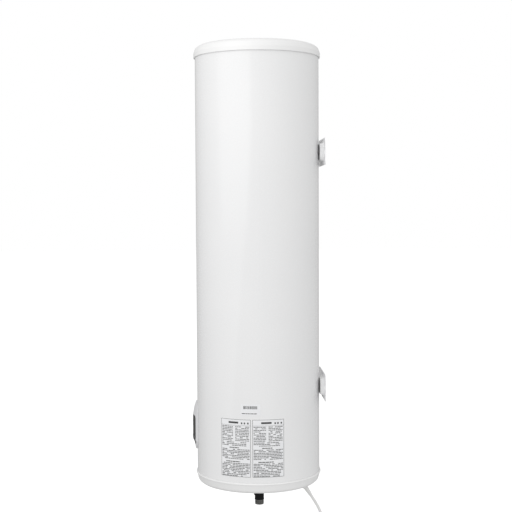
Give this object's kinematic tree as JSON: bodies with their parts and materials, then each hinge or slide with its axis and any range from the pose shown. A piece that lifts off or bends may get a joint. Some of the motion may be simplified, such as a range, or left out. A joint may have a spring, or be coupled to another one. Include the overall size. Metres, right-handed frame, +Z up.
{
  "type": "tank water heater",
  "caption": "Tall slim round electric storage water heater for wall mounting, with a small front panel, two steel wall brackets, water pipes and a mains cord at the bottom.",
  "frame": {"origin": "centre of the upper wall bracket's flat face, on the wall", "axes": "+Z up, +Y into the wall, +X to the right seen from the front"},
  "size_m": [0.373, 0.3912, 1.6215],
  "materials": {
    "casing_paint": "gloss",
    "cap_plastic": "satin",
    "bracket_paint": "satin",
    "tank_steel": "satin",
    "foam": "matte",
    "zinc_steel": "satin",
    "heater_steel": "satin",
    "magnesium": "matte",
    "gasket_rubber": "matte",
    "black_plastic": "matte",
    "red_plastic": "satin",
    "blue_plastic": "satin",
    "grey_plastic": "matte",
    "board_green": "satin",
    "window_black": "gloss",
    "bezel_plastic": "satin",
    "button_plastic": "satin",
    "lamp_plastic": "gloss",
    "label_film": "satin",
    "cord_sheath": "satin",
    "plug_plastic": "satin",
    "contact_metal": "polished",
    "wire_sheath": "satin"
  },
  "bodies": {
    "heater": {"outer_casing": "casing_paint", "top_cap": "cap_plastic", "bottom_cap": "cap_plastic", "base_plate": "zinc_steel", "service_cover": "cap_plastic", "cover_screws": "zinc_steel", "cap_screws": "zinc_steel", "upper_bracket": "bracket_paint", "lower_bracket": "bracket_paint", "inner_tank": "tank_steel", "insulation_foam": "foam", "flange_ring": "tank_steel", "flange_gasket": "gasket_rubber", "flange_plate": "zinc_steel", "flange_studs": "zinc_steel", "flange_nuts": "zinc_steel", "heating_element": "heater_steel", "anode_rod": "magnesium", "anode_nut": "zinc_steel", "sensor_pocket": "heater_steel", "sensor_probes": "contact_metal", "cold_nipple": "zinc_steel", "hot_nipple": "zinc_steel", "cold_sleeve": "black_plastic", "hot_sleeve": "black_plastic", "cold_ring": "blue_plastic", "hot_ring": "red_plastic", "hot_outlet_pipe": "heater_steel", "cold_inlet_diffuser": "black_plastic", "thermal_cutout": "black_plastic", "terminal_block": "grey_plastic", "earth_screw": "contact_metal", "supply_lead": "wire_sheath", "element_leads": "wire_sheath", "control_lead": "wire_sheath", "panel_bezel": "bezel_plastic", "panel_window": "window_black", "indicator_lamps": "lamp_plastic", "tact_switches": "black_plastic", "display_module": "grey_plastic", "control_board": "board_green", "control_box": "grey_plastic", "rating_label": "label_film", "wiring_label": "label_film", "barcode_label": "label_film", "cord_gland": "cap_plastic", "gland_nut": "grey_plastic", "cord_strain_relief": "cord_sheath", "mains_cord": "cord_sheath", "cord_coil": "cord_sheath", "cord_tie": "black_plastic", "cord_tail": "cord_sheath", "plug_body": "plug_plastic", "plug_contacts": "contact_metal"},
    "power": {"power_button": "button_plastic"},
    "cooler": {"cooler_button": "button_plastic"},
    "warmer": {"warmer_button": "button_plastic"},
    "eco": {"eco_button": "button_plastic"},
    "reset": {"reset_button": "red_plastic"}
  },
  "joints": [
    {"name": "power_press", "type": "slide", "parent": "heater", "child": "power", "axis": [0, 1, 0], "range_m": [0, 0.0008], "stiffness_N_per_m": 500},
    {"name": "cooler_press", "type": "slide", "parent": "heater", "child": "cooler", "axis": [0, 1, 0], "range_m": [0, 0.0008], "stiffness_N_per_m": 500},
    {"name": "warmer_press", "type": "slide", "parent": "heater", "child": "warmer", "axis": [0, 1, 0], "range_m": [0, 0.0008], "stiffness_N_per_m": 500},
    {"name": "eco_press", "type": "slide", "parent": "heater", "child": "eco", "axis": [0, 1, 0], "range_m": [0, 0.0008], "stiffness_N_per_m": 500},
    {"name": "reset_press", "type": "slide", "parent": "heater", "child": "reset", "axis": [0, 0, 1], "range_m": [0, 0.0015], "stiffness_N_per_m": 400}
  ]
}
